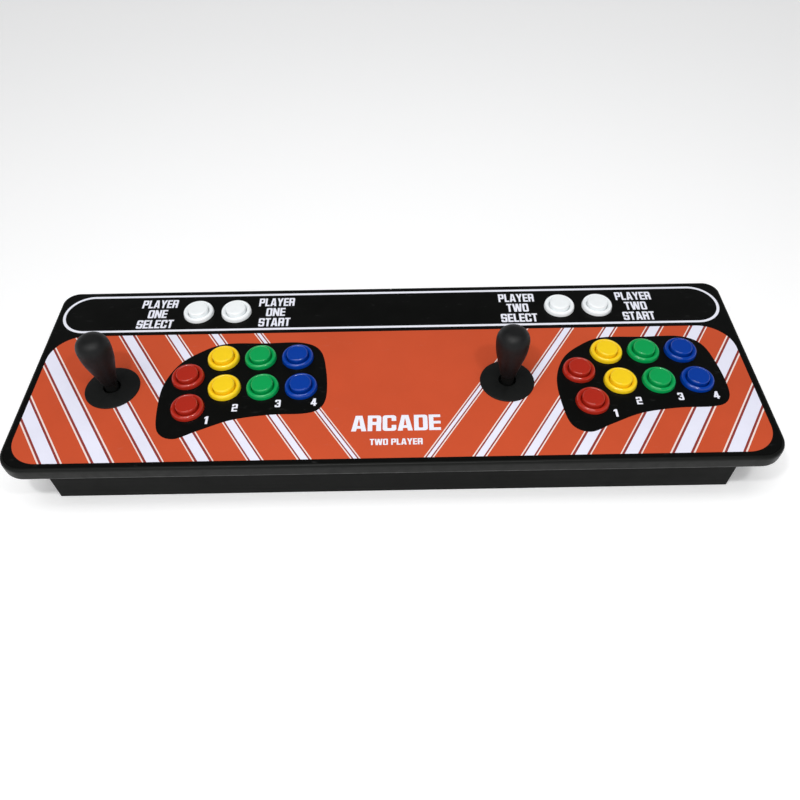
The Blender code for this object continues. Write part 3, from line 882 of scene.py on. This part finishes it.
def make_molding():
    """The T-molding: a crowned strip round the edge, whose ends meet in the middle of the rear."""
    low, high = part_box("edge_molding")
    thickness = high.z - low.z
    crown = [(MOLDING_WIDTH - CLEARANCE, 0.0), (MOLDING_LIP + 0.0004, 0.0)]
    for step in range(9):
        angle = math.radians(90 * step / 8)
        crown.append((MOLDING_LIP * (1 - math.sin(angle)), MOLDING_FALL * (1 - math.cos(angle))))
    section = crown + [(inset, thickness - drop) for inset, drop in reversed(crown)]
    bm = bmesh.new()
    loops = []
    for inset, drop in section:
        corners = (PANEL_CORNERS[0] - inset, PANEL_CORNERS[1] - inset)
        outline = rounded_rectangle(low.x + inset, high.x - inset, low.y + inset, high.y - inset, corners)
        steps = len(outline) // 4
        rear = high.y - inset
        outline = [(-MOLDING_SEAM / 2, rear), *outline[steps:], *outline[:steps], (MOLDING_SEAM / 2, rear)]
        loops.append([bm.verts.new((x, y, high.z - drop)) for x, y in outline])
    for inner, outer in zip(loops, loops[1:] + loops[:1]):
        for i in range(len(inner) - 1):
            bm.faces.new((inner[i], inner[i + 1], outer[i + 1], outer[i]))
    bm.faces.new([loop[0] for loop in loops])
    bm.faces.new([loop[-1] for loop in reversed(loops)])
    mesh = smooth_mesh(bm)
    add_piece("t_molding", mesh, "molding", stands_for=("edge_molding",))


def make_board():
    low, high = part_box("top_board")
    outline = rounded_rectangle(low.x, high.x, low.y, high.y, SHEET_CORNERS)
    mesh = plate(outline, panel_holes(), low.z, high.z)
    add_piece("board_panel", mesh, "board", stands_for=("top_board",))


def make_case():
    """Four boards: front and rear at full width, the sides between them. The rear one has the
    socket's opening. Glue blocks stand in the corners."""
    low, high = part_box("case_walls")
    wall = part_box("bottom_cover")[0].x - low.x - CLEARANCE
    front = block(low, (high.x, low.y + wall, high.z))
    soften(add_piece("case_front", front, "case", stands_for=("case_walls",)), CASE_ROUNDING)
    side_front, side_rear = low.y + wall + BOARD_SEAM, high.y - wall - BOARD_SEAM
    for name, start, end in (
        ("case_left", low.x, low.x + wall), ("case_right", high.x - wall, high.x),
    ):
        board = block((start, side_front, low.z), (end, side_rear, high.z))
        soften(add_piece(name, board, "case", stands_for=("case_walls",)), CASE_SIDE_ROUNDING)
    half, rise = SOCKET_OPENING[0] / 2, SOCKET_OPENING[1] / 2
    slot = rounded_rectangle(-half, half, SOCKET_HEIGHT - rise, SOCKET_HEIGHT + rise, (0.002, 0.002), 4)
    outline = rectangle(low.x, high.x, low.z, high.z)
    rear = upright(plate(outline, [slot], -high.y, wall - high.y))
    soften(add_piece("case_rear", rear, "case", stands_for=("case_walls",)), CASE_ROUNDING)
    side, foot, drop = GLUE_BLOCK
    near = 2 * BOARD_SEAM
    glue = plate([(near, near), (side, near), (near, side)], [], 0.0, high.z - drop)
    left, right, front, rear = low.x + wall, high.x - wall, low.y + wall, high.y - wall
    corners = ((left, front), (right, front), (right, rear), (left, rear))
    for index, (x, y) in enumerate(corners):
        piece = add_piece(f"glue_block_{index + 1}", glue, "cover", (x, y, foot))
        piece.rotation_euler.z = math.radians(90 * index)


def make_cover():
    """The hardboard bottom with eight countersunk screws, their heads flush with its underside."""
    low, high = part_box("bottom_cover")
    places = []
    for y in (low.y + COVER_SCREW_INSET, high.y - COVER_SCREW_INSET):
        for step in range(COVER_SCREWS):
            span = high.x - low.x - 2 * COVER_SCREW_INSET
            places.append((low.x + COVER_SCREW_INSET + span * step / (COVER_SCREWS - 1), y))
    outline = rounded_rectangle(low.x, high.x, low.y, high.y, (0.002, 0.002), 3)
    holes = [circle(COVER_SCREW * 1.06, 32, place) for place in places]
    mesh = plate(outline, holes, low.z, high.z)
    add_piece("bottom_panel", mesh, "cover", stands_for=("bottom_cover",))
    screw = screw_mesh(COVER_SCREW)
    screw.transform(Matrix.Rotation(math.radians(180), 4, "X"))
    for index, (x, y) in enumerate(places, start=1):
        piece = add_piece(f"cover_screw_{index}", screw, "zinc", (x, y, 0.0003))
        piece.rotation_euler.z = math.radians(23 * index)


# ---- circuit board

def socket_outline(width, height):
    """The D shape of the cable socket's shell."""
    half = width / 2
    slant = height * 0.18
    corners = [
        (-half + slant, -height / 2, 0.002), (half - slant, -height / 2, 0.002),
        (half, height / 2, 0.002), (-half, height / 2, 0.002),
    ]
    return [tuple(point) for point in rounded(corners, ring=True)]


def make_socket(rear, level):
    """The 25-way cable socket that faces the rear opening: body, flange, shell, insert and pins."""
    def facing(outline, holes, start, end):
        mesh = upright(plate(outline, holes, -end, -start))
        mesh.transform(Matrix.Translation((0, 0, level)))
        return mesh

    width, height = SOCKET_FLANGE
    flange = rounded_rectangle(-width / 2, width / 2, -height / 2, height / 2, (0.001, 0.001), 4)
    outer, bore = socket_outline(*SOCKET_SHELL), socket_outline(*SOCKET_BORE)
    front = rear - SOCKET_LIP
    back = front - FLANGE_THICKNESS
    body = facing(socket_outline(*SOCKET_BODY), [], rear - SOCKET_DEPTH, back)
    add_piece("socket_body", body, "inner", stands_for=("encoder_board",))
    shell = joined([
        (facing(flange, [], back, front), "zinc", HERE),
        (facing(outer, [bore], front, rear - CLEARANCE), "zinc", HERE),
    ])
    add_piece("socket_shell", shell, "zinc", stands_for=("encoder_board",))
    outline = socket_outline(*SOCKET_INSERT)
    insert = facing(outline, [], front + 0.0001, front + 0.002)
    add_piece("socket_insert", insert, "inner")
    pin = lathe(((0.0, 0.0038, 0.0), (0.00045, 0.0034), (0.0005, 0.0), (0.0, 0.0)), sides=10)
    turn = Matrix.Rotation(math.radians(-90), 4, "X")
    places = []
    for row, count in PIN_ROWS:
        for index in range(count):
            place = (
                (index - (count - 1) / 2) * PIN_PITCH, front + 0.0018, level + row * PIN_ROW_HEIGHT,
            )
            places.append(Matrix.Translation(place) @ turn)
    add_piece("socket_pins", joined([(pin, "brass", places)]), "brass")
    post = lathe((
        (0.0014, 0.004), (0.0024, 0.004, 0.0002), (0.0024, 0.0), (0.0014, 0.0),
    ), sides=6, ring=True)
    places = []
    for x in (-POST_REACH, POST_REACH):
        places.append(Matrix.Translation((x, front + 0.0001, level)) @ turn)
    add_piece("socket_posts", joined([(post, "zinc", places)]), "zinc")


def make_encoder():
    """The circuit board that reads the switches: board, socket, chip, headers and small parts."""
    low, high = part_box("encoder_board")
    top = high.z - SOCKET_STAND
    bottom = top - CIRCUIT_THICKNESS
    middle = (low + high) / 2
    hole_x, hole_y = CIRCUIT_SCREWS
    holes = [(x, middle.y + y) for x in (-hole_x, hole_x) for y in (-hole_y, hole_y)]
    outline = rounded_rectangle(low.x, high.x, low.y, high.y, (CIRCUIT_CORNER, CIRCUIT_CORNER), 4)
    mesh = plate(outline, [circle(0.0016, 16, hole) for hole in holes], bottom, top)
    add_piece("circuit_board", mesh, "circuit", stands_for=("encoder_board",))
    make_socket(high.y, (top + high.z) / 2)
    length = low.z - bottom
    spacer = lathe((
        (0.0016, 0.0), (0.003, 0.0), (0.003, length), (0.0016, length),
    ), sides=6, ring=True)
    screw = screw_mesh(CIRCUIT_SCREW)
    for index, (x, y) in enumerate(holes, start=1):
        add_piece(f"circuit_spacer_{index}", spacer, "washer", (x, y, bottom))
        add_piece(f"circuit_screw_{index}", screw, "zinc", (x, y, top + 0.0011))
    leg = block((-0.0002, 0.0, 0.0), (0.0002, 0.0016, 0.001))
    turns = []
    for quarter in range(4):
        for index in range(CHIP_LEGS):
            x = (index - (CHIP_LEGS - 1) / 2) * CHIP_LEG_PITCH
            shift = Matrix.Translation((x, CHIP_LEG_REACH, 0.0))
            turns.append(Matrix.Rotation(math.radians(90 * quarter), 4, "Z") @ shift)
    body = block((-0.007, -0.007, 0.0003), (0.007, 0.007, 0.002))
    chip = joined([(body, "inner", HERE), (leg, "zinc", turns)])
    soften(add_piece("circuit_chip", chip, "inner", (0, middle.y, top)), CHIP_ROUNDING, 1)
    rim, well = (rectangle(-x, x, -y, y) for x, y in (HEADER_RIM, HEADER_WELL))
    walls = plate(rim, [well], 0.0016, 0.009)
    floor = plate(rim, [], 0.0, 0.0016)
    post = block((-0.0003, -0.0003, 0.0016), (0.0003, 0.0003, 0.0075))
    posts = []
    for x in (-HEADER_PITCH / 2, HEADER_PITCH / 2):
        for index in range(HEADER_PINS):
            posts.append((x, (index - (HEADER_PINS - 1) / 2) * HEADER_PITCH, 0))
    header = joined([
        (walls, "inner", HERE), (floor, "inner", HERE), (post, "brass", posts),
    ])
    for name, x in (("left", -HEADER_REACH), ("right", HEADER_REACH)):
        add_piece(f"circuit_header_{name}", header, "inner", (x, middle.y, top))
    can = lathe((
        (0.0, 0.0068), (0.0029, 0.0068, 0.0004), (0.0029, 0.0002, 0.0003), (0.0, 0.0002),
    ), sides=32)
    crystal = lathe((
        (0.0, 0.0033), (0.0021, 0.0033, 0.0004), (0.0021, 0.0001), (0.0, 0.0001),
    ), sides=32)
    crystal.transform(Matrix.Diagonal((2.4, 1.0, 1.0, 1.0)))
    chips = block((-0.001, -0.0006, 0.0), (0.001, 0.0006, 0.0005))
    rows = []
    for x in (-0.021, -0.017, 0.017, 0.021):
        rows += [(x, y, 0) for y in (-0.012, -0.008, -0.004, 0.0, 0.004)]
    small = joined([
        (can, "washer", [(-0.0125, -0.02, 0), (0.0125, -0.02, 0)]),
        (crystal, "zinc", [(0.0, -0.0135, 0)]), (chips, "inner", rows),
    ])
    add_piece("circuit_parts", small, "inner", (0, middle.y, top))


# ---- buttons

def ribbed_barrel():
    """The barrel's threaded side, from under the rim down to its floor."""
    side = [(BARREL_RADIUS, 0.0003), (BARREL_RADIUS, -0.001)]
    for index in range(THREAD_TURNS):
        level = THREAD_TOP - THREAD_PITCH * index
        side += [(THREAD_RADIUS, level), (THREAD_RADIUS, level - 0.0004)]
        side += [(BARREL_RADIUS, level - 0.0008), (BARREL_RADIUS, level - 0.0011)]
    return side


def button_meshes():
    """The rim with its barrel, the nut and the plunger, from the panel's face."""
    housing = lathe((
        *RIM_PROFILE, *ribbed_barrel(), (BARREL_RADIUS, BARREL_FLOOR, 0.0005), (0.0, BARREL_FLOOR),
    ), sides=72)
    lobes = []
    for x, y in circle(1.0, 96):
        reach = NUT_RADIUS + NUT_WAVE * math.cos(NUT_WAVES * math.atan2(y, x)) - NUT_WAVE
        lobes.append((reach * x, reach * y))
    nut = plate(lobes, [circle(HOLE_RADIUS, 48)], *NUT_LEVELS)
    return housing, nut, lathe(PLUNGER_PROFILE, sides=72)


def switch_mesh():
    """A microswitch: case, red button, two holes' rims and three brass tabs. Its top is height 0."""
    case = block((-0.01, -0.0032, -0.0105), (0.01, 0.0032, 0.0))
    key = block((0.002, -0.0014, 0.0), (0.005, 0.0014, 0.0009))
    rivet = lathe(((0.0, 0.0004), (0.0012, 0.0004, 0.0002), (0.0015, 0.0), (0.0, 0.0)), sides=20)
    faces = []
    for x, z in ((-0.0048, -0.003), (0.0048, -0.008)):
        for turn in (-90, 90):
            side = Matrix.Translation((x, -0.0032 if turn == 90 else 0.0032, z))
            faces.append(side @ Matrix.Rotation(math.radians(turn), 4, "X"))
    tab = plate(rectangle(-0.0016, 0.0016, -0.0003, 0.0003), [], -0.0165, -0.0105)
    return joined([
        (case, "inner", HERE), (key, "button_red", HERE), (rivet, "zinc", faces),
        (tab, "brass", [(-0.0085, 0, 0), (0.0, 0, 0), (0.0085, 0, 0)]),
    ])


def make_buttons():
    housing, nut, plunger = button_meshes()
    switch = switch_mesh()
    for colour in BUTTON_COLOURS:
        material = "button_" + colour
        rim, ring, cap = (mesh.copy() for mesh in (housing, nut, plunger))
        for name, own, x, y in BUTTONS:
            if own != colour:
                continue
            place = (x, y, TOP)
            fixed = (name + "_housing",)
            add_piece(name + "_rim", rim, material, place, fixed)
            soften(add_piece(name + "_nut", ring, material, place, fixed), NUT_ROUNDING, 2)
            add_piece(name + "_cap", cap, material, place, (name + "_plunger",), name + "_button")
            add_piece(name + "_switch", switch, "inner", (x, y, TOP + SWITCH_TOP), fixed)


# ---- joysticks

def bat_corners():
    """The bat top's side: a full round cap over a body that narrows to the neck, and the bore."""
    top, widest, bottom = BAT_LEVELS
    cap_steps, body_steps = BAT_STEPS
    corners = [(0.0, top)]
    for step in range(1, cap_steps + 1):
        angle = math.radians(90 * step / cap_steps)
        radius = BAT_RADIUS * math.sin(angle) ** BAT_CAP_POWER
        corners.append((radius, widest + (top - widest) * math.cos(angle)))
    for step in range(1, body_steps + 1):
        level = widest + (bottom + 0.0014 - widest) * step / body_steps
        share = (widest - level) / (widest - BAT_BODY_FOOT)
        swell = 0.5 + 0.5 * math.cos(math.pi * share ** BAT_BODY_POWER)
        corners.append((BAT_NECK + (BAT_RADIUS - BAT_NECK) * swell, level))
    corners += [(BAT_NECK - 0.0002, bottom + 0.0004), (BAT_NECK - 0.001, bottom)]
    bore, roof = BAT_BORE
    return corners + [(bore, bottom), (bore, roof), (0.0, roof)]


def stick_parts():
    """(piece, mesh, material, the end of its body's name, the CAD node it stands for) of each part
    that a joystick moves. Heights are from the panel's face."""
    ball = []
    for degrees in range(40, -41, -8):
        angle = math.radians(degrees)
        ball.append((BALL_RADIUS * math.cos(angle), PIVOT + BALL_RADIUS * math.sin(angle)))
    shaft = lathe((
        (0.0, 0.026), (0.005, 0.026, 0.0006), (0.005, -0.0235), *ball, (0.005, -0.0325),
        (0.005, -0.055, 0.0006), (0.0, -0.055),
    ))
    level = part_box("left_stick_lower_washer")[0].z - TOP
    slider = lathe((
        (0.0088, level + 0.001, 0.0002), (0.0143, level + 0.001, 0.0002), (0.0143, level), (0.0088, level),
    ), sides=72, ring=True)
    hoop = lathe((
        (0.0072, PIVOT + 0.003, 0.0004), (0.0112, PIVOT + 0.003, 0.0006),
        (0.0112, PIVOT - 0.003, 0.0006), (0.0072, PIVOT - 0.003, 0.0004),
    ), sides=72, ring=True)
    trunnion = lathe(TRUNNION_PROFILE, sides=32)
    centre = Matrix.Translation((0, 0, PIVOT))
    turns = [centre @ Matrix.Rotation(math.radians(turn), 4, "X") for turn in (-90, 90)]
    gimbal = joined([(hoop, "inner", HERE), (trunnion, "zinc", turns)])
    sleeve = lathe(SLEEVE_PROFILE, ring=True)
    clip = lathe(CLIP_PROFILE, sides=48, ring=True)
    collar = lathe(COLLAR_PROFILE, sides=64, ring=True)
    washer = lathe(WASHER_PROFILE, ring=True)
    return (
        ("bat", lathe(bat_corners()), "knob", "handle", "knob"),
        ("rod", shaft, "steel", "handle", "shaft"),
        ("sleeve", sleeve, "washer", "handle", "shaft"),
        ("clip", clip, "zinc", "handle", None),
        ("collar", collar, "inner", "handle", "actuator"),
        ("disc", washer, "washer", "dust_washer", "dust_washer"),
        ("slider", slider, "inner", "lower_washer", "lower_washer"),
        ("gimbal_ring", gimbal, "inner", "gimbal", "gimbal"),
    )


def make_sticks():
    parts = stick_parts()
    switch = switch_mesh()
    for side, middle in STICKS.items():
        place = Vector((middle.x, middle.y, TOP))
        node = side + "_stick_"
        for part, mesh, material, body, cad_node in parts:
            stands_for = (node + cad_node,) if cad_node else ()
            add_piece(node + part, mesh, material, place, stands_for, f"{side}_{body}")
        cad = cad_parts[node + "housing"]
        cad.data.materials.clear()
        cad.data.materials.append(MATERIALS["inner"])
        soften(cad, STICK_HOUSING_ROUNDING, 2)
        for index in range(4):
            turn = math.radians(90 * index)
            shift = Vector((-math.sin(turn), math.cos(turn), 0)) * STICK_SWITCH_REACH
            spot = place + shift + Vector((0, 0, STICK_SWITCH_TOP))
            piece = add_piece(f"{node}switch_{index + 1}", switch, "inner", spot)
            piece.rotation_euler.z = turn


# ---- camera, floor and light

def make_camera():
    data = bpy.data.cameras.new("camera")
    data.lens = CAMERA_LENS
    data.clip_start = 0.01
    camera = link_object("camera", data)
    aim = (CAMERA_AIM - CAMERA_PLACE).to_track_quat("-Z", "Y").to_matrix().to_4x4()
    camera.matrix_world = Matrix.Translation(CAMERA_PLACE) @ aim @ Matrix.Rotation(CAMERA_ROLL, 4, "Z")
    bpy.context.scene.camera = camera


def make_floor():
    bm = bmesh.new()
    bmesh.ops.create_grid(bm, x_segments=1, y_segments=1, size=FLOOR_REACH)
    mesh = mesh_from(bm)
    material, nodes = new_material("floor_white", roughness=0.9)
    nodes.fill(nodes.shader, {
        "Base Color": FLOOR_COLOUR, "Emission Color": (1.0, 1.0, 1.0, 1.0), "Emission Strength": FLOOR_GLOW,
    })
    mesh.materials.append(material)
    floor = link_object("floor", mesh)
    floor.location = (0, 0, -FLOOR_DROP)


def make_area_light(name, place, aim, size, power):
    data = bpy.data.lights.new(name, "AREA")
    data.shape = "RECTANGLE"
    data.size, data.size_y = size
    data.energy = power
    light = link_object(name, data)
    light.location = place
    light.rotation_euler = (Vector(aim) - Vector(place)).to_track_quat("-Z", "Y").to_euler()


def make_lights():
    make_area_light("left_lamp", LEFT_LAMP, (0, 0, TOP), LAMP_SIZE, LEFT_LAMP_POWER)
    make_area_light("right_lamp", RIGHT_LAMP, (0, 0, TOP), LAMP_SIZE, RIGHT_LAMP_POWER)
    below = (SOFTBOX[0], SOFTBOX[1], TOP)
    make_area_light("overhead_softbox", SOFTBOX, below, SOFTBOX_SIZE, SOFTBOX_POWER)
    data = bpy.data.lights.new("soft_key", "SUN")
    data.energy = KEY_STRENGTH
    data.angle = KEY_WIDTH
    key = link_object("soft_key", data)
    key.rotation_euler = Vector(KEY_DIRECTION).to_track_quat("-Z", "Y").to_euler()
    world = bpy.data.worlds.new("studio")
    world.use_nodes = True
    sky = Nodes(world.node_tree, "Background")
    direction = sky.add("ShaderNodeTexCoord").outputs["Generated"]
    height = sky.add("ShaderNodeSeparateXYZ", {"Vector": direction}).outputs["Z"]
    start, end, low, high = SKY_FADE
    sky.fill(sky.shader, {"Color": SKY_COLOUR, "Strength": sky.spread(height, low, high, start, end)})
    bpy.context.scene.world = world
    bpy.context.scene.view_settings.view_transform = "Standard"


make_sheet()
make_labels()
make_molding()
make_board()
make_case()
make_cover()
make_encoder()
make_buttons()
make_sticks()
make_camera()
make_floor()
make_lights()
